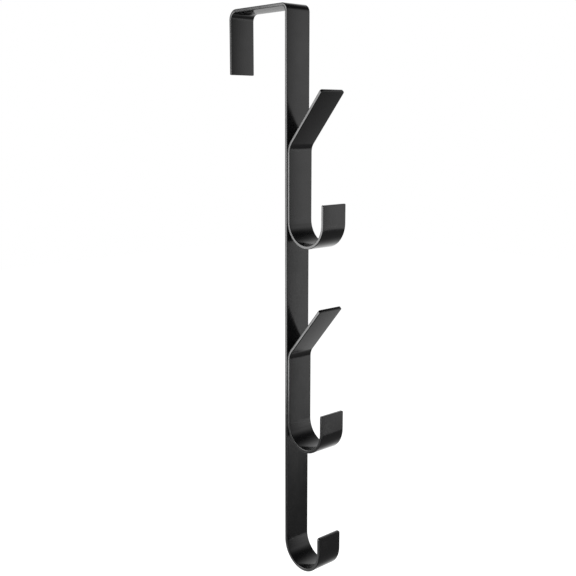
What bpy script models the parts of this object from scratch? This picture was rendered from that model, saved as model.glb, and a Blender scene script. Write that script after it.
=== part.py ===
"""Over-the-door hook rack: three bent steel strips, spot-welded together and coated black.

The long strip hooks over the top of a door, runs down its front and ends in a U hook. Two
shorter strips lie flat against it, each with a leaning peg at the top and a U hook at the foot.

Metres, +Z up, hooks towards -Y. The origin is the middle of the door's top edge, so the
underside of the bridge is at z = 0 and the mirror plane of the rack is x = 0.
"""
import math

import bmesh
import bpy
from mathutils import Vector

# The strip
STRIP_WIDTH = 0.0160
STRIP_THICKNESS = 0.0018
ARRIS_RADIUS = 0.0004
SQUARE_CORNER_SHARE = 1.5
ROUND_CORNER_RADIUS = 0.0011

# The door strap
DOOR_GAP = 0.0445
BACK_DROP = 0.0348
BACK_BEND_RADIUS = 0.0038
FRONT_BEND_RADIUS = 0.0024

# The hooks: the height of a U is that of its lowest point
HOOK_NAMES = ("upper_hook", "lower_hook")
HOOK_RADIUS = 0.0121
LAST_HOOK_RADIUS = 0.0124
HOOK_TIP_RISE = 0.0240
FIRST_PEG_DEPTH = 0.0727
HOOK_SPACING = 0.1125
PEG_TO_HOOK_DROP = 0.0530
LAST_HOOK_SPACING = 0.0705
PEG_LENGTH = 0.0380
PEG_BEND_RADIUS = 0.0070
PEG_LEAN = math.radians(40.6)

# The welds, down each stem
WELD_NAMES = ("high", "low")
WELD_HEIGHT_SHARES = (0.22, 0.78)
WELD_DIAMETER = 0.0055
WELD_DEPTH_SHARE = 0.6
ELECTRODE_MARK_DIAMETER = 0.0066
ELECTRODE_MARK_DEPTH = 0.00015

# Clearances between pieces that touch
FACE_CLEARANCE = 0.0003
WELD_CLEARANCE = 0.0003

# Facets
BEND_STEP = math.radians(7.5)
ARRIS_ANGLE = math.radians(40)
ARRIS_SEGMENTS = 2
CORNER_SEGMENTS = 4
LENS_SEGMENTS = 20
LENS_RINGS = 8

# Finishes: colour, roughness and metallic value
BLACK_COAT = ((0.010, 0.010, 0.011), 0.18, 0.0)
WELD_STEEL = ((0.32, 0.32, 0.33), 0.45, 1.0)

# Headings in the YZ plane, turning from +Y towards +Z
UP = math.radians(90)
DOWN = math.radians(270)
QUARTER_TURN = math.radians(90)
HALF_TURN = math.radians(180)

# Places that follow from the sizes
SPINE_REAR_Y = -DOOR_GAP / 2
SPINE_FRONT_Y = SPINE_REAR_Y - STRIP_THICKNESS
STEM_REAR_Y = SPINE_FRONT_Y - FACE_CLEARANCE
TOP_Z = STRIP_THICKNESS
SQUARE_CORNER_RADIUS = SQUARE_CORNER_SHARE * ARRIS_RADIUS
U_DEPTH = HOOK_RADIUS + STRIP_THICKNESS
LAST_U_DEPTH = LAST_HOOK_RADIUS + STRIP_THICKNESS
PEG_SETBACK = (PEG_BEND_RADIUS + STRIP_THICKNESS) * math.tan(PEG_LEAN / 2)
STEM_LENGTH = PEG_TO_HOOK_DROP - PEG_SETBACK - U_DEPTH
PEG_CORNER_Z = [TOP_Z - FIRST_PEG_DEPTH - HOOK_SPACING * number for number in range(len(HOOK_NAMES))]
LAST_HOOK_Z = PEG_CORNER_Z[-1] - PEG_TO_HOOK_DROP - LAST_HOOK_SPACING
SPINE_LENGTH = -FRONT_BEND_RADIUS - (LAST_HOOK_Z + LAST_U_DEPTH)
WELD_Y = (SPINE_FRONT_Y + STEM_REAR_Y) / 2
POCKET_HALF_HEIGHT = FACE_CLEARANCE / 2 + WELD_DEPTH_SHARE * STRIP_THICKNESS


class BentStrip:
    """The middle surface of a flat strip, grown from one end as a folding machine would bend it."""

    def __init__(self, y, z, heading):
        self.mesh = bmesh.new()
        self.place = Vector((0, y, z))
        self.heading = heading
        sides = (-STRIP_WIDTH / 2, STRIP_WIDTH / 2)
        self.first = [self.mesh.verts.new((x, y, z)) for x in sides]
        self.edge = self.mesh.edges.new(self.first)

    def straight(self, length):
        """Feeds the strip on by a length."""
        step = length * Vector((0, math.cos(self.heading), math.sin(self.heading)))
        grown = bmesh.ops.extrude_edge_only(self.mesh, edges=[self.edge])["geom"]
        verts = [item for item in grown if isinstance(item, bmesh.types.BMVert)]
        bmesh.ops.translate(self.mesh, verts=verts, vec=step)
        self.edge = self.mesh.edges.get(verts)
        self.place += step

    def bend(self, turn, inner_radius):
        """Bends the strip by an angle, towards +Z from +Y where it is positive."""
        radius = math.copysign(inner_radius + STRIP_THICKNESS / 2, turn)
        centre = self.place + radius * Vector((0, -math.sin(self.heading), math.cos(self.heading)))
        steps = math.ceil(abs(turn) / BEND_STEP)
        spun = bmesh.ops.spin(self.mesh, geom=[*self.edge.verts, self.edge], cent=centre,
                              axis=(1, 0, 0), angle=turn, steps=steps)["geom_last"]
        self.edge = next(item for item in spun if isinstance(item, bmesh.types.BMEdge))
        self.heading += turn
        arm = -radius * Vector((0, -math.sin(self.heading), math.cos(self.heading)))
        self.place = centre + arm

    def finish(self, name, first_corner, last_corner):
        """Rounds the corners of both ends and returns the surface as a mesh."""
        for ends, radius in ((self.first, first_corner), (list(self.edge.verts), last_corner)):
            bmesh.ops.bevel(self.mesh, geom=ends, offset=radius, offset_type="OFFSET",
                            affect="VERTICES", segments=CORNER_SEGMENTS, profile=0.5)
        mesh = bpy.data.meshes.new(name)
        self.mesh.to_mesh(mesh)
        self.mesh.free()
        mesh.shade_smooth()
        return mesh


def door_strap_mesh():
    """Back drop, bridge, spine and bottom hook, from the back drop's lower end."""
    strip = BentStrip(DOOR_GAP / 2 + STRIP_THICKNESS / 2, TOP_Z - BACK_DROP, UP)
    strip.straight(BACK_DROP - STRIP_THICKNESS - BACK_BEND_RADIUS)
    strip.bend(QUARTER_TURN, BACK_BEND_RADIUS)
    strip.straight(DOOR_GAP - BACK_BEND_RADIUS - FRONT_BEND_RADIUS)
    strip.bend(QUARTER_TURN, FRONT_BEND_RADIUS)
    strip.straight(SPINE_LENGTH)
    strip.bend(-HALF_TURN, LAST_HOOK_RADIUS)
    strip.straight(HOOK_TIP_RISE - LAST_U_DEPTH)
    return strip.finish("door_strap", SQUARE_CORNER_RADIUS, ROUND_CORNER_RADIUS)


def hook_mesh(name):
    """Peg, stem and U hook, about the corner where the rear faces of peg and stem would meet."""
    along_peg = Vector((0, -math.sin(PEG_LEAN), math.cos(PEG_LEAN)))
    through_peg = Vector((0, -math.cos(PEG_LEAN), -math.sin(PEG_LEAN)))
    end = PEG_LENGTH * along_peg + STRIP_THICKNESS / 2 * through_peg
    strip = BentStrip(end.y, end.z, DOWN + PEG_LEAN)
    strip.straight(PEG_LENGTH - PEG_SETBACK)
    strip.bend(-PEG_LEAN, PEG_BEND_RADIUS)
    strip.straight(STEM_LENGTH)
    strip.bend(-HALF_TURN, HOOK_RADIUS)
    strip.straight(HOOK_TIP_RISE - U_DEPTH)
    return strip.finish(name, ROUND_CORNER_RADIUS, SQUARE_CORNER_RADIUS)


def lens_mesh(name, diameter, half_height):
    """A flattened ball, thin along Y."""
    ball = bmesh.new()
    bmesh.ops.create_uvsphere(ball, u_segments=LENS_SEGMENTS, v_segments=LENS_RINGS, radius=1)
    bmesh.ops.scale(ball, verts=ball.verts, vec=(diameter / 2, diameter / 2, half_height))
    bmesh.ops.rotate(ball, verts=ball.verts, cent=(0, 0, 0),
                     matrix=Vector((0, 0, 1)).rotation_difference(Vector((0, 1, 0))).to_matrix())
    mesh = bpy.data.meshes.new(name)
    ball.to_mesh(mesh)
    ball.free()
    mesh.shade_smooth()
    return mesh


def material(name, colour, roughness, metallic):
    """A material with the piece's colour, roughness and metallic value."""
    made = bpy.data.materials.new(name)
    made.use_nodes = True
    shader = made.node_tree.nodes["Principled BSDF"]
    shader.inputs["Base Color"].default_value = (*colour, 1)
    shader.inputs["Roughness"].default_value = roughness
    shader.inputs["Metallic"].default_value = metallic
    return made


def place(name, mesh, location, collection):
    """Puts a mesh in the scene as a named object."""
    piece = bpy.data.objects.new(name, mesh)
    piece.location = location
    collection.objects.link(piece)
    return piece


def add_strip(name, mesh, location, parts, cutters):
    """Gives a strip's middle surface its thickness, rounded edges, weld pockets and black coat."""
    strip = place(name, mesh, location, parts)
    mesh.materials.append(material(f"{name}_black_coat", *BLACK_COAT))
    wall = strip.modifiers.new("Thickness", "SOLIDIFY")
    wall.thickness = STRIP_THICKNESS
    wall.offset = 0
    wall.use_even_offset = True
    arris = strip.modifiers.new("Arris", "BEVEL")
    arris.width = ARRIS_RADIUS
    arris.segments = ARRIS_SEGMENTS
    arris.limit_method = "ANGLE"
    arris.angle_limit = ARRIS_ANGLE
    arris.harden_normals = True
    pockets = strip.modifiers.new("Weld pockets", "BOOLEAN")
    pockets.operation = "DIFFERENCE"
    pockets.operand_type = "COLLECTION"
    pockets.collection = cutters


def add_cutter(name, mesh, location, cutters):
    """A shape that only cuts the strips: it isn't part of the rack."""
    shape = place(name, mesh, location, cutters)
    shape.hide_render = True
    shape.display_type = "WIRE"


def add_weld(name, z, parts, cutters):
    """A weld nugget between spine and stem, its pocket in both, and the mark behind it."""
    nugget = lens_mesh(name, WELD_DIAMETER, POCKET_HALF_HEIGHT - WELD_CLEARANCE)
    nugget.materials.append(material(f"{name}_steel", *WELD_STEEL))
    place(name, nugget, (0, WELD_Y, z), parts)
    pocket = lens_mesh(f"{name}_pocket", WELD_DIAMETER + 2 * WELD_CLEARANCE, POCKET_HALF_HEIGHT)
    add_cutter(f"{name}_pocket", pocket, (0, WELD_Y, z), cutters)
    mark = lens_mesh(f"{name}_mark", ELECTRODE_MARK_DIAMETER, ELECTRODE_MARK_DEPTH)
    add_cutter(f"{name}_mark", mark, (0, SPINE_REAR_Y, z), cutters)


def main():
    for old in list(bpy.data.objects):
        bpy.data.objects.remove(old, do_unlink=True)
    parts = bpy.data.collections.new("over_the_door_hook_rack")
    cutters = bpy.data.collections.new("cutters")
    for collection in (parts, cutters):
        bpy.context.scene.collection.children.link(collection)

    add_strip("door_strap", door_strap_mesh(), (0, 0, 0), parts, cutters)
    for hook_name, corner_z in zip(HOOK_NAMES, PEG_CORNER_Z):
        add_strip(hook_name, hook_mesh(hook_name), (0, STEM_REAR_Y, corner_z), parts, cutters)
        for weld_name, share in zip(WELD_NAMES, WELD_HEIGHT_SHARES):
            weld_z = corner_z - PEG_SETBACK - share * STEM_LENGTH
            add_weld(f"{hook_name}_weld_{weld_name}", weld_z, parts, cutters)


main()
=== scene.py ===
"""The looks of an over-the-door hook rack: three bent steel strips in glossy black powder coat.

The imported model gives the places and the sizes. Each strip is modelled afresh with fine bends,
rounded arrises and weld pockets, and stands for its plain solid. Metres, +Z up, hooks towards -Y.
"""
import logging
import math
from dataclasses import dataclass, field
from enum import Enum

import bmesh
import bpy
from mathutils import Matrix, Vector


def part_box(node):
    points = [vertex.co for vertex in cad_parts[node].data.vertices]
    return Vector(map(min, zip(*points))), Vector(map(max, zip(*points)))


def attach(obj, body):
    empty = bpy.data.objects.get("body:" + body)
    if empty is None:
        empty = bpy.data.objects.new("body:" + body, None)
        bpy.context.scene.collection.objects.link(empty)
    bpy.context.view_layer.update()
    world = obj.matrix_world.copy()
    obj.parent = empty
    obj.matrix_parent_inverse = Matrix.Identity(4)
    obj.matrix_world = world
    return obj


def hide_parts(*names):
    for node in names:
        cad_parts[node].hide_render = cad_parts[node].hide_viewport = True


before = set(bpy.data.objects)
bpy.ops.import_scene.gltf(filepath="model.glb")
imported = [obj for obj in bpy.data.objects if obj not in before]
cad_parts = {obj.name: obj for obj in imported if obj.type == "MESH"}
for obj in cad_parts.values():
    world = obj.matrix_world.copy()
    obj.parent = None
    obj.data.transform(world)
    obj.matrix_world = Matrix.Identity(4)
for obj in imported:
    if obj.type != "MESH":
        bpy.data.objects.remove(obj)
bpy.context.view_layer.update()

BODY = "root"
QUARTER_TURN = math.radians(90)
UP = QUARTER_TURN
DOWN = -QUARTER_TURN

Colour = tuple[float, float, float]
Place = tuple[float, float, float]

log = logging.getLogger("hook_rack")


def deselect_all() -> None:
    """Leaves no object selected, so that an operator acts on the new piece alone."""
    bpy.ops.object.select_all(action="DESELECT")


def heading_vector(heading: float) -> Vector:
    """Gives the unit vector of a heading in the YZ plane, measured from +Y towards +Z."""
    return Vector((0, math.cos(heading), math.sin(heading)))


def apply_modifiers(piece: bpy.types.Object) -> None:
    """Applies every modifier of a piece, in order.

    Args:
        piece: The mesh object, which becomes the active one.
    """
    deselect_all()
    piece.select_set(True)
    bpy.context.view_layer.objects.active = piece
    for modifier in list(piece.modifiers):
        bpy.ops.object.modifier_apply(modifier=modifier.name)


class NodeChain:
    """A node tree that is built up node by node."""

    def __init__(self, tree: bpy.types.NodeTree) -> None:
        """Takes over a tree and empties it."""
        self.tree = tree
        self.tree.nodes.clear()

    def add(self, kind: str, **settings: object) -> bpy.types.Node:
        """Adds a node and sets its properties.

        Args:
            kind: The node's type, such as ShaderNodeMath.
            settings: Properties of the node by name.

        Returns:
            The new node.
        """
        node = self.tree.nodes.new(kind)
        for name, value in settings.items():
            setattr(node, name, value)
        return node

    def link(self, source: bpy.types.NodeSocket, target: bpy.types.NodeSocket) -> None:
        """Joins an output to an input."""
        self.tree.links.new(source, target)

    def maths(self, operation: str, first: object, second: object = 0.0) -> bpy.types.NodeSocket:
        """Adds a Math node on two numbers or sockets.

        Args:
            operation: The Math node's operation.
            first: A number or an output socket.
            second: A number or an output socket.

        Returns:
            The result's socket.
        """
        node = self.add("ShaderNodeMath", operation=operation)
        for value, socket in zip((first, second), node.inputs):
            if isinstance(value, bpy.types.NodeSocket):
                self.link(value, socket)
            else:
                socket.default_value = value
        return node.outputs["Value"]

    def noise(self, place: bpy.types.NodeSocket, scale: float, detail: float) -> bpy.types.NodeSocket:
        """Adds a noise texture.

        Args:
            place: The coordinates that it reads.
            scale: Its waves to the metre.
            detail: Its octaves.

        Returns:
            The noise value's socket, from 0 to 1.
        """
        node = self.add("ShaderNodeTexNoise")
        node.inputs["Scale"].default_value = scale
        node.inputs["Detail"].default_value = detail
        self.link(place, node.inputs["Vector"])
        return node.outputs["Fac"]

    def spread(self, value: bpy.types.NodeSocket, low: float, high: float) -> bpy.types.NodeSocket:
        """Maps the values that a noise mostly has to a range.

        Args:
            value: The noise value's socket.
            low: What a low value of the noise becomes.
            high: What a high value of the noise becomes.

        Returns:
            The mapped value's socket.
        """
        node = self.add("ShaderNodeMapRange")
        usual_low, usual_high = 0.3, 0.7
        for name, number in (("From Min", usual_low), ("From Max", usual_high),
                             ("To Min", low), ("To Max", high)):
            node.inputs[name].default_value = number
        self.link(value, node.inputs["Value"])
        return node.outputs["Result"]

    def ramp(self, value: bpy.types.NodeSocket, first: Colour, last: Colour) -> bpy.types.NodeSocket:
        """Turns a value from 0 to 1 into a colour between two.

        Args:
            value: The value's socket.
            first: The colour at 0.
            last: The colour at 1.

        Returns:
            The colour's socket.
        """
        node = self.add("ShaderNodeValToRGB")
        for element, colour in zip(node.color_ramp.elements, (first, last)):
            element.color = (*colour, 1)
        self.link(value, node.inputs["Fac"])
        return node.outputs["Color"]

    def bump(self, height: bpy.types.NodeSocket, distance: float) -> bpy.types.NodeSocket:
        """Tilts the surface by a height.

        Args:
            height: The height's socket.
            distance: How many metres a height of 1 stands for.

        Returns:
            The normal's socket.
        """
        node = self.add("ShaderNodeBump")
        node.inputs["Distance"].default_value = distance
        self.link(height, node.inputs["Height"])
        return node.outputs["Normal"]


def new_material(name: str, surface: str) -> tuple[bpy.types.Material, NodeChain, bpy.types.Node]:
    """Makes a material that holds one shader.

    Args:
        name: The material's name.
        surface: The type of the shader's node.

    Returns:
        The material, its node tree and the shader.
    """
    material = bpy.data.materials.new(name)
    material.use_nodes = True
    chain = NodeChain(material.node_tree)
    shader = chain.add(surface)
    chain.link(shader.outputs[0], chain.add("ShaderNodeOutputMaterial").inputs["Surface"])
    return material, chain, shader


@dataclass(frozen=True)
class PowderCoat:
    """Glossy black powder coat, with its faint orange peel and fine grain.

    A scale is in waves to the metre, a detail in octaves and a height in metres. The crown is how
    the strip's faces bulge across their width: their height falls by the crown times the square of
    the way from the middle.
    """

    name: str = "glossy_black_powder_coat"
    deep_colour: Colour = (0.0036, 0.0036, 0.0038)
    pale_colour: Colour = (0.0062, 0.0062, 0.0066)
    gloss_roughness: float = 0.13
    dull_roughness: float = 0.19
    refractive_index: float = 1.5
    tone_scale: float = 35.0
    tone_detail: float = 3.0
    gloss_scale: float = 150.0
    gloss_detail: float = 4.0
    peel_scale: float = 900.0
    peel_detail: float = 1.5
    peel_height: float = 0.000004
    grain_scale: float = 5200.0
    grain_detail: float = 2.0
    grain_height: float = 0.0000006
    crown: float = 2.45

    def make(self) -> bpy.types.Material:
        """Builds the material.

        Returns:
            The node material.
        """
        material, chain, shader = new_material(self.name, "ShaderNodeBsdfPrincipled")
        shader.inputs["IOR"].default_value = self.refractive_index
        place = chain.add("ShaderNodeTexCoord").outputs["Object"]

        tone = chain.noise(place, self.tone_scale, self.tone_detail)
        chain.link(chain.ramp(tone, self.deep_colour, self.pale_colour), shader.inputs["Base Color"])
        gloss = chain.noise(place, self.gloss_scale, self.gloss_detail)
        chain.link(chain.spread(gloss, self.gloss_roughness, self.dull_roughness),
                   shader.inputs["Roughness"])

        peel = chain.noise(place, self.peel_scale, self.peel_detail)
        grain = chain.noise(place, self.grain_scale, self.grain_detail)
        height = chain.maths("ADD", chain.maths("MULTIPLY", peel, self.peel_height),
                             chain.maths("MULTIPLY", grain, self.grain_height))
        height = chain.maths("SUBTRACT", height, self._fall(chain, place))
        chain.link(chain.bump(height, 1.0), shader.inputs["Normal"])
        return material

    def _fall(self, chain: NodeChain, place: bpy.types.NodeSocket) -> bpy.types.NodeSocket:
        """Gives how far a strip's face has fallen off from its middle line, in metres.

        Args:
            chain: The node tree.
            place: The place on the strip.

        Returns:
            The fall's socket.
        """
        axes = chain.add("ShaderNodeSeparateXYZ")
        chain.link(place, axes.inputs["Vector"])
        across = axes.outputs["X"]
        return chain.maths("MULTIPLY", chain.maths("MULTIPLY", across, across), self.crown)


@dataclass(frozen=True)
class FusedSteel:
    """Bare steel that was melted and set again, tinted by the heat towards its rim."""

    name: str = "heat_tinted_steel"
    core_colour: Colour = (0.36, 0.36, 0.37)
    rim_colour: Colour = (0.12, 0.10, 0.13)
    roughness_range: tuple[float, float] = (0.38, 0.55)
    grain_scale: float = 3000.0
    grain_detail: float = 4.0
    grain_height: float = 0.00001

    def make(self) -> bpy.types.Material:
        """Builds the material.

        Returns:
            The node material.
        """
        material, chain, shader = new_material(self.name, "ShaderNodeBsdfPrincipled")
        shader.inputs["Metallic"].default_value = 1.0
        place = chain.add("ShaderNodeTexCoord").outputs["Object"]
        grain = chain.noise(place, self.grain_scale, self.grain_detail)
        chain.link(chain.ramp(grain, self.rim_colour, self.core_colour), shader.inputs["Base Color"])
        chain.link(chain.spread(grain, *self.roughness_range), shader.inputs["Roughness"])
        chain.link(chain.bump(grain, self.grain_height), shader.inputs["Normal"])
        return material


class EndShape(Enum):
    """How the corners of a strip's end are finished."""

    SHEARED = "sheared"
    ROUNDED = "rounded"


@dataclass(frozen=True)
class Stock:
    """The flat steel that all three strips are cut from.

    The arris is the rounding along every edge. The corners are those of the strips' ends.
    """

    width: float
    thickness: float
    arris_radius: float = 0.0004
    sheared_corner: float = 0.0006
    rounded_corner: float = 0.0011

    def corner(self, shape: EndShape) -> float:
        """Gives the corner radius of an end, seen from the strip's face."""
        return self.rounded_corner if shape is EndShape.ROUNDED else self.sheared_corner


@dataclass(frozen=True)
class Flat:
    """A straight stretch of a strip."""

    length: float


@dataclass(frozen=True)
class Bend:
    """A bend of a strip, turning from +Y towards +Z where it is positive."""

    turn: float
    inner_radius: float


@dataclass
class BentStrip:
    """A strip that starts as one upright flat and is bent on from both of its ends.

    The flat is given by where its rear face lies and by the heights of its ends. The folds upward
    and downward are listed from there on, and each leads to an end with corners of its own.
    """

    name: str
    stock: Stock
    rear_y: float
    flat_top: float
    flat_bottom: float
    upward: list[Flat | Bend]
    downward: list[Flat | Bend]
    upper_end: EndShape
    lower_end: EndShape
    bend_step: float = math.radians(2.5)
    seam_width: float = 0.000001
    arris_angle: float = math.radians(40)
    arris_segments: int = 5
    corner_segments: int = 8
    smooth_angle: float = math.radians(32)
    flat_face_weight: int = 80
    piece: bpy.types.Object | None = field(default=None, init=False)

    def build(self) -> bpy.types.Object:
        """Models the strip.

        Returns:
            The finished mesh object, at the origin.
        """
        self._lay_flat()
        self._bend_on(UP, self.flat_top, self.upward, self.upper_end)
        self._bend_on(DOWN, self.flat_bottom, self.downward, self.lower_end)
        self._thicken()
        return self.piece

    def _lay_flat(self) -> None:
        """Adds the upright flat as a plane on the strip's middle surface."""
        deselect_all()
        width = self.stock.width
        bpy.ops.mesh.primitive_plane_add(
            size=width, rotation=(QUARTER_TURN, 0, 0),
            location=(0, self.rear_y - self.stock.thickness / 2, self.flat_top - width / 2))
        self.piece = bpy.context.object
        self.piece.name = self.piece.data.name = f"{self.name}_coated"
        bpy.ops.object.transform_apply(location=True, rotation=True, scale=True)
        bpy.ops.object.mode_set(mode="EDIT")
        lower_edge = self.flat_top - width
        self._select_edge_at(lower_edge)
        bpy.ops.transform.translate(value=(0, 0, self.flat_bottom - lower_edge))
        bpy.ops.object.mode_set(mode="OBJECT")

    def _select_edge_at(self, z: float, tolerance: float = 0.00001) -> None:
        """Selects only the edge across the strip at a height.

        Args:
            z: The height of the edge.
            tolerance: How far off it may be.
        """
        bpy.ops.mesh.select_mode(type="EDGE")
        bpy.ops.mesh.select_all(action="DESELECT")
        cage = bmesh.from_edit_mesh(self.piece.data)
        for edge in cage.edges:
            edge.select_set(all(abs(vert.co.z - z) < tolerance for vert in edge.verts))
        bmesh.update_edit_mesh(self.piece.data)

    def _bend_on(self, heading: float, z: float, folds: list[Flat | Bend], end: EndShape) -> None:
        """Carries the strip on from one end of its flat, and rounds the corners of the last edge.

        Args:
            heading: The way it sets out, in the YZ plane.
            z: The height of the flat's end.
            folds: The flats and bends, in order.
            end: How the last corners are finished.
        """
        bpy.ops.object.mode_set(mode="EDIT")
        self._select_edge_at(z)
        half = self.stock.thickness / 2
        place = Vector((0, self.rear_y - half, z))
        for fold in folds:
            if isinstance(fold, Flat):
                step = fold.length * heading_vector(heading)
                bpy.ops.mesh.extrude_region_move(TRANSFORM_OT_translate={"value": step})
                place = place + step
                continue
            radius = math.copysign(fold.inner_radius + half, fold.turn)
            centre = place + radius * heading_vector(heading + QUARTER_TURN)
            bpy.ops.mesh.spin(steps=math.ceil(abs(fold.turn) / self.bend_step), angle=-fold.turn,
                              center=centre, axis=(1, 0, 0))
            heading += fold.turn
            place = centre - radius * heading_vector(heading + QUARTER_TURN)
        bpy.ops.mesh.bevel(offset=self.stock.corner(end), offset_type="OFFSET", affect="VERTICES",
                           segments=self.corner_segments, profile=0.5)
        bpy.ops.object.mode_set(mode="OBJECT")

    def _thicken(self) -> None:
        """Merges the seams, gives the surface its thickness and rounds every arris."""
        bpy.ops.object.mode_set(mode="EDIT")
        bpy.ops.mesh.select_all(action="SELECT")
        bpy.ops.mesh.remove_doubles(threshold=self.seam_width)
        bpy.ops.mesh.normals_make_consistent(inside=False)
        bpy.ops.object.mode_set(mode="OBJECT")
        wall = self.piece.modifiers.new("Thickness", "SOLIDIFY")
        wall.thickness = self.stock.thickness
        wall.offset = 0
        wall.use_even_offset = True
        arris = self.piece.modifiers.new("Arris", "BEVEL")
        arris.width = self.stock.arris_radius
        arris.segments = self.arris_segments
        arris.limit_method = "ANGLE"
        arris.angle_limit = self.arris_angle
        apply_modifiers(self.piece)

    def cut(self, cutters: list[bpy.types.Object]) -> None:
        """Cuts the weld pockets and the electrode marks.

        Args:
            cutters: Closed shapes that are taken away from the strip.
        """
        for cutter in cutters:
            pocket = self.piece.modifiers.new("Pocket", "BOOLEAN")
            pocket.operation = "DIFFERENCE"
            pocket.object = cutter
        apply_modifiers(self.piece)

    def dress(self, coat: bpy.types.Material) -> None:
        """Gives the strip its coat, smooth shading and place in the model.

        Args:
            coat: The powder coat.
        """
        self.piece.data.materials.clear()
        self.piece.data.materials.append(coat)
        bpy.ops.object.shade_smooth_by_angle(angle=self.smooth_angle)
        weighted = self.piece.modifiers.new("Flat faces stay flat", "WEIGHTED_NORMAL")
        weighted.keep_sharp = True
        weighted.weight = self.flat_face_weight
        apply_modifiers(self.piece)
        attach(self.piece, BODY)
        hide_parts(self.name)


@dataclass(frozen=True)
class Weld:
    """A weld nugget between spine and stem, which stays as the model has it.

    Its pocket in both strips is larger all round by the clearance. The mark is the shallow dent
    that the electrode leaves in the spine's rear face.
    """

    node: str
    clearance: float = 0.0003
    mark_diameter: float = 0.0066
    mark_depth: float = 0.00015
    lens_segments: int = 48
    lens_rings: int = 20

    def cutters(self, spine_rear_y: float) -> list[bpy.types.Object]:
        """Makes the shapes that cut its pocket and the electrode's mark.

        Args:
            spine_rear_y: Where the spine's rear face lies.

        Returns:
            The pocket's shape and the mark's shape.
        """
        low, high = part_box(self.node)
        centre = (low + high) / 2
        half = (high - low) / 2 + self.clearance * Vector((1, 1, 1))
        mark_radius = self.mark_diameter / 2
        return [self._lens(centre, half),
                self._lens(Vector((0, spine_rear_y, centre.z)),
                           Vector((mark_radius, self.mark_depth, mark_radius)))]

    def _lens(self, centre: Vector, half: Vector) -> bpy.types.Object:
        """Adds a flattened ball.

        Args:
            centre: Its middle.
            half: Its half sizes along X, Y and Z.

        Returns:
            The mesh object.
        """
        deselect_all()
        bpy.ops.mesh.primitive_uv_sphere_add(
            segments=self.lens_segments, ring_count=self.lens_rings, radius=1,
            location=centre, rotation=(QUARTER_TURN, 0, 0), scale=(half.x, half.z, half.y))
        lens = bpy.context.object
        bpy.ops.object.transform_apply(location=True, rotation=True, scale=True)
        return lens

    def dress(self, steel: bpy.types.Material) -> None:
        """Gives the nugget its steel.

        Args:
            steel: The heat-tinted steel.
        """
        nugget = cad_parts[self.node]
        for slot in nugget.material_slots:
            slot.material = steel
        log.info("%s: %d faces, as in the model", self.node, len(nugget.data.polygons))


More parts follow.
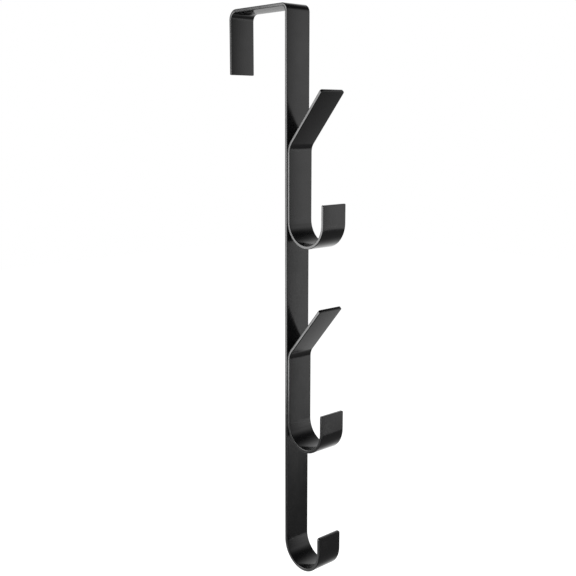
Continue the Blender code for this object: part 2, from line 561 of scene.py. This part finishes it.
@dataclass
class HookRack:
    """The rack: one strap over the door, two hook strips on it and their welds.

    Radii are those of the bends' inner faces. The back drop is measured from the bridge's upper
    face, the tip's rise from a U hook's lowest point, and the peg's length and the drop to the
    hook's lowest point from the corner where the rear faces of peg and stem would meet.
    """

    back_bend_radius: float = 0.0038
    front_bend_radius: float = 0.0024
    hook_radius: float = 0.0121
    last_hook_radius: float = 0.0124
    hook_tip_rise: float = 0.0240
    back_drop: float = 0.0348
    peg_length: float = 0.0380
    peg_lean: float = math.radians(40.6)
    peg_bend_radius: float = 0.0070
    peg_to_hook_drop: float = 0.0530
    hook_names: tuple[str, ...] = ("upper_hook", "lower_hook")
    weld_names: tuple[str, ...] = ("high", "low")
    stock: Stock = field(init=False)
    door_gap: float = field(init=False)

    def __post_init__(self) -> None:
        """Reads the strip's width and thickness and the gap for the door from the model.

        The bridge's underside is at z = 0 and the gap's middle at y = 0.
        """
        low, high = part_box("door_strap")
        self.stock = Stock(width=high.x - low.x, thickness=high.z)
        self.door_gap = 2 * (high.y - self.stock.thickness)

    def u_depth(self, radius: float) -> float:
        """Gives how far a U hook of an inner radius reaches below its centre."""
        return radius + self.stock.thickness

    def u_hook(self, radius: float) -> list[Flat | Bend]:
        """Gives the folds of a U hook of an inner radius, and of its tip."""
        return [Bend(-2 * QUARTER_TURN, radius), Flat(self.hook_tip_rise - self.u_depth(radius))]

    def strap(self) -> BentStrip:
        """Describes the long strip that hooks over the door.

        Returns:
            The strip, not yet built.
        """
        bridge = self.door_gap - self.front_bend_radius - self.back_bend_radius
        drop = self.back_drop - self.stock.thickness - self.back_bend_radius
        return BentStrip(
            name="door_strap", stock=self.stock, rear_y=-self.door_gap / 2,
            flat_top=-self.front_bend_radius,
            flat_bottom=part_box("door_strap")[0].z + self.u_depth(self.last_hook_radius),
            upward=[Bend(-QUARTER_TURN, self.front_bend_radius), Flat(bridge),
                    Bend(-QUARTER_TURN, self.back_bend_radius), Flat(drop)],
            downward=self.u_hook(self.last_hook_radius),
            upper_end=EndShape.SHEARED, lower_end=EndShape.ROUNDED)

    def hook(self, name: str) -> BentStrip:
        """Describes a short strip with a peg at its top and a hook at its foot.

        Args:
            name: The strip's node in the model.

        Returns:
            The strip, not yet built.
        """
        low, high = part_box(name)
        setback = (self.peg_bend_radius + self.stock.thickness) * math.tan(self.peg_lean / 2)
        return BentStrip(
            name=name, stock=self.stock, rear_y=high.y,
            flat_top=low.z + self.peg_to_hook_drop - setback,
            flat_bottom=low.z + self.u_depth(self.hook_radius),
            upward=[Bend(self.peg_lean, self.peg_bend_radius), Flat(self.peg_length - setback)],
            downward=self.u_hook(self.hook_radius),
            upper_end=EndShape.ROUNDED, lower_end=EndShape.SHEARED)

    def build(self) -> None:
        """Models and dresses every piece, and logs it."""
        coat = PowderCoat().make()
        steel = FusedSteel().make()
        strap = self.strap()
        strap.build()
        all_cutters = []
        for name in self.hook_names:
            hook = self.hook(name)
            hook.build()
            cutters = self.weld(name, strap.rear_y, steel)
            self.finish(hook, cutters, coat)
            all_cutters += cutters
        self.finish(strap, all_cutters, coat)
        for cutter in all_cutters:
            bpy.data.objects.remove(cutter, do_unlink=True)

    def weld(self, name: str, spine_rear_y: float, steel: bpy.types.Material) -> list[bpy.types.Object]:
        """Dresses a short strip's weld nuggets and makes the shapes that cut their pockets.

        Args:
            name: The short strip's node in the model.
            spine_rear_y: Where the spine's rear face lies.
            steel: The nuggets' steel.

        Returns:
            The shapes of the pockets and of the electrode marks.
        """
        cutters = []
        for place in self.weld_names:
            nugget = Weld(f"{name}_weld_{place}")
            nugget.dress(steel)
            cutters += nugget.cutters(spine_rear_y)
        return cutters

    @staticmethod
    def finish(strip: BentStrip, cutters: list[bpy.types.Object], coat: bpy.types.Material) -> None:
        """Cuts a strip's pockets, coats it and logs it.

        Args:
            strip: The strip, already built.
            cutters: The shapes that are cut out of it.
            coat: The powder coat.
        """
        strip.cut(cutters)
        strip.dress(coat)
        log.info("%s: %d faces", strip.name, len(strip.piece.data.polygons))


@dataclass
class SoftBox:
    """A rectangular lamp that looks at a point."""

    name: str
    place: Place
    size: tuple[float, float]
    power: float
    target: Place = (0, 0, -0.15)
    shows_in_gloss: bool = True

    def build(self) -> bpy.types.Object:
        """Adds the lamp.

        Returns:
            The lamp object.
        """
        data = bpy.data.lights.new(self.name, "AREA")
        data.shape = "RECTANGLE"
        data.size, data.size_y = self.size
        data.energy = self.power
        lamp = bpy.data.objects.new(self.name, data)
        lamp.location = self.place
        aim = Vector(self.target) - Vector(self.place)
        lamp.rotation_euler = aim.to_track_quat("-Z", "Y").to_euler()
        lamp.visible_camera = False
        lamp.visible_glossy = self.shows_in_gloss
        bpy.context.scene.collection.objects.link(lamp)
        log.info("lamp %s", self.name)
        return lamp


@dataclass
class BlackCard:
    """A matt black card with soft edges that is seen only in reflections, as photographers use them.

    It lies flat unless it is standing, and is turned about the upright axis by an angle in degrees.
    The feather is how far it fades in from its left, right, near and far edge. Where it stands, near
    is its lower edge and far its upper one.
    """

    name: str
    place: Place
    size: tuple[float, float]
    feather: tuple[float, float, float, float]
    standing: bool = True
    turn: float = 0.0
    density: float = 1.0
    black: Colour = (0.004, 0.004, 0.004)

    def build(self) -> bpy.types.Object:
        """Adds the card.

        Returns:
            The mesh object.
        """
        deselect_all()
        turned = (QUARTER_TURN if self.standing else 0, 0, math.radians(self.turn))
        bpy.ops.mesh.primitive_plane_add(size=1, location=self.place, rotation=turned)
        card = bpy.context.object
        card.name = self.name
        bpy.ops.object.mode_set(mode="EDIT")
        bpy.ops.transform.resize(value=(*self.size, 1), orient_type="LOCAL")
        bpy.ops.object.mode_set(mode="OBJECT")
        card.data.materials.append(self._material())
        for kind in ("camera", "diffuse", "shadow", "transmission", "volume_scatter"):
            setattr(card, f"visible_{kind}", False)
        log.info("card %s", self.name)
        return card

    def _material(self) -> bpy.types.Material:
        """Makes a matt black that fades to nothing at the card's edges.

        Returns:
            The node material.
        """
        material, chain, mix = new_material(f"{self.name}_black", "ShaderNodeMixShader")
        clear = chain.add("ShaderNodeBsdfTransparent")
        black = chain.add("ShaderNodeBsdfDiffuse")
        black.inputs["Color"].default_value = (*self.black, 1)
        place = chain.add("ShaderNodeSeparateXYZ")
        chain.link(chain.add("ShaderNodeTexCoord").outputs["Object"], place.inputs["Vector"])
        cover = self.density
        edges = [(axis, side * length / 2) for axis, length in zip("XY", self.size) for side in (-1, 1)]
        for (axis, edge), width in zip(edges, self.feather):
            cover = chain.maths("MULTIPLY", self._fade(chain, place.outputs[axis], edge, width), cover)
        chain.link(cover, mix.inputs["Fac"])
        chain.link(clear.outputs["BSDF"], mix.inputs[1])
        chain.link(black.outputs["BSDF"], mix.inputs[2])
        return material

    @staticmethod
    def _fade(chain: NodeChain, along: bpy.types.NodeSocket, edge: float,
              width: float) -> bpy.types.NodeSocket:
        """Gives 0 at one edge of the card and beyond it, and 1 from a width inside it.

        Args:
            chain: The node tree.
            along: The place along the axis, from the card's middle.
            edge: Where the edge lies on that axis.
            width: How far inside the edge the fade ends.

        Returns:
            The factor's socket.
        """
        outward = chain.maths("MULTIPLY", along, math.copysign(1, edge))
        fade = chain.add("ShaderNodeMapRange", interpolation_type="SMOOTHSTEP")
        fade.inputs["From Max"].default_value = width
        chain.link(chain.maths("SUBTRACT", abs(edge), outward), fade.inputs["Value"])
        return fade.outputs["Result"]


@dataclass
class Studio:
    """The pale floor, the white surroundings, the lamps and the black cards.

    The floor's lift is the light that is added to it where it is seen, so that it turns white but
    keeps its shadow. The ambient value is the strength of the surroundings for light on things.
    """

    floor_z: float = -1.20
    floor_size: float = 12.0
    floor_colour: Colour = (0.82, 0.82, 0.82)
    floor_lift: float = 0.55
    ambient: float = 0.55

    def build(self) -> None:
        """Sets up everything around the rack."""
        self.surroundings()
        self.floor()
        for lamp in self.lamps():
            lamp.build()
        for card in self.cards():
            card.build()

    @staticmethod
    def lamps() -> list[SoftBox]:
        """Lists the lamps: a wide one overhead, and two that show as streaks in the coat.

        Returns:
            The lamps, not yet built.
        """
        return [
            SoftBox("top_softbox", place=(0.3, -0.5, 2.2), size=(2.0, 2.0), power=52.0,
                    shows_in_gloss=False),
            SoftBox("side_softbox", place=(-1.16, 0.95, -0.125), size=(0.5, 1.15), power=10.2),
            SoftBox("front_softbox", place=(1.94, -2.28, -0.33), size=(0.85, 1.27), power=1.03),
        ]

    @staticmethod
    def cards() -> list[BlackCard]:
        """Lists the black cards, which give the dark bands that the bends and pegs mirror.

        Returns:
            The cards, not yet built.
        """
        return [
            BlackCard("card_above", place=(-1.8, 0.13, 1.0), size=(5.64, 9.2),
                      feather=(0.3, 1.26, 2.06, 5.27), standing=False, turn=45.17),
            BlackCard("card_below", place=(-0.86, -0.33, -1.19), size=(6.4, 2.95),
                      feather=(0.3, 0.16, 0.69, 1.31), standing=False, turn=-8.1, density=0.86),
            BlackCard("card_in_front", place=(0.96, -1.6, -0.1), size=(1.02, 3.0),
                      feather=(0.3, 0.68, 0.2, 0.2)),
            BlackCard("card_behind", place=(1.97, 2.26, -0.42), size=(1.6, 0.7),
                      feather=(0.2, 0.2, 0.2, 0.2), turn=-41, density=0.5),
            BlackCard("card_behind_left", place=(-0.88, 1.52, -0.95), size=(1.6, 0.6),
                      feather=(0.2, 0.2, 0.02, 0.25), turn=30, density=0.72),
        ]

    @staticmethod
    def seen_directly(chain: NodeChain) -> bpy.types.NodeSocket:
        """Gives 1 for a ray from the camera, or one that gloss or glass sends on, and else 0.

        Args:
            chain: The node tree.

        Returns:
            The factor's socket.
        """
        path = chain.add("ShaderNodeLightPath").outputs
        gloss = chain.maths("MAXIMUM", path["Is Glossy Ray"], path["Is Transmission Ray"])
        return chain.maths("MAXIMUM", path["Is Camera Ray"], gloss)

    def surroundings(self) -> None:
        """Makes the world white where it is seen, and a soft even light elsewhere."""
        world = bpy.data.worlds.new("white_surroundings")
        bpy.context.scene.world = world
        world.use_nodes = True
        chain = NodeChain(world.node_tree)
        output = chain.add("ShaderNodeOutputWorld")
        background = chain.add("ShaderNodeBackground")
        background.inputs["Color"].default_value = (1, 1, 1, 1)
        strength = chain.add("ShaderNodeMapRange")
        strength.inputs["To Min"].default_value = self.ambient
        strength.inputs["To Max"].default_value = 1.0
        chain.link(self.seen_directly(chain), strength.inputs["Value"])
        chain.link(strength.outputs["Result"], background.inputs["Strength"])
        chain.link(background.outputs["Background"], output.inputs["Surface"])

    def floor(self) -> None:
        """Lays the pale floor, lifted to white where it is seen, with its shadow kept."""
        deselect_all()
        bpy.ops.mesh.primitive_plane_add(size=self.floor_size, location=(0, 0, self.floor_z))
        plane = bpy.context.object
        plane.name = "floor"
        material, chain, shader = new_material("pale_floor", "ShaderNodeBsdfPrincipled")
        shader.inputs["Base Color"].default_value = (*self.floor_colour, 1)
        shader.inputs["Roughness"].default_value = 1.0
        shader.inputs["Specular IOR Level"].default_value = 0.0
        shader.inputs["Emission Color"].default_value = (1, 1, 1, 1)
        lift = chain.maths("MULTIPLY", self.seen_directly(chain), self.floor_lift)
        chain.link(lift, shader.inputs["Emission Strength"])
        plane.data.materials.append(material)


@dataclass(frozen=True)
class PhotoCamera:
    """The camera at the photograph's viewing angle, for a square picture."""

    place: Place = (-0.31699, -0.37536, -0.05537)
    azimuth: float = math.radians(41.401)
    elevation: float = math.radians(11.026)
    lens: float = 55.139
    sensor: float = 36.0
    nearest: float = 0.01

    def build(self) -> bpy.types.Object:
        """Adds the camera and makes it the scene's own.

        Returns:
            The camera object.
        """
        data = bpy.data.cameras.new("camera")
        data.lens = self.lens
        data.sensor_width = self.sensor
        data.clip_start = self.nearest
        camera = bpy.data.objects.new("camera", data)
        camera.location = self.place
        camera.rotation_euler = (QUARTER_TURN - self.elevation, 0, -self.azimuth)
        bpy.context.scene.collection.objects.link(camera)
        bpy.context.scene.camera = camera
        log.info("camera %.1f mm", self.lens)
        return camera


def main() -> None:
    """Builds the camera, the rack and the studio, in that order."""
    logging.basicConfig(level=logging.INFO, format="%(name)s: %(message)s")
    PhotoCamera().build()
    HookRack().build()
    Studio().build()
    bpy.context.scene.view_settings.view_transform = "Standard"


if __name__ == "__main__":
    main()
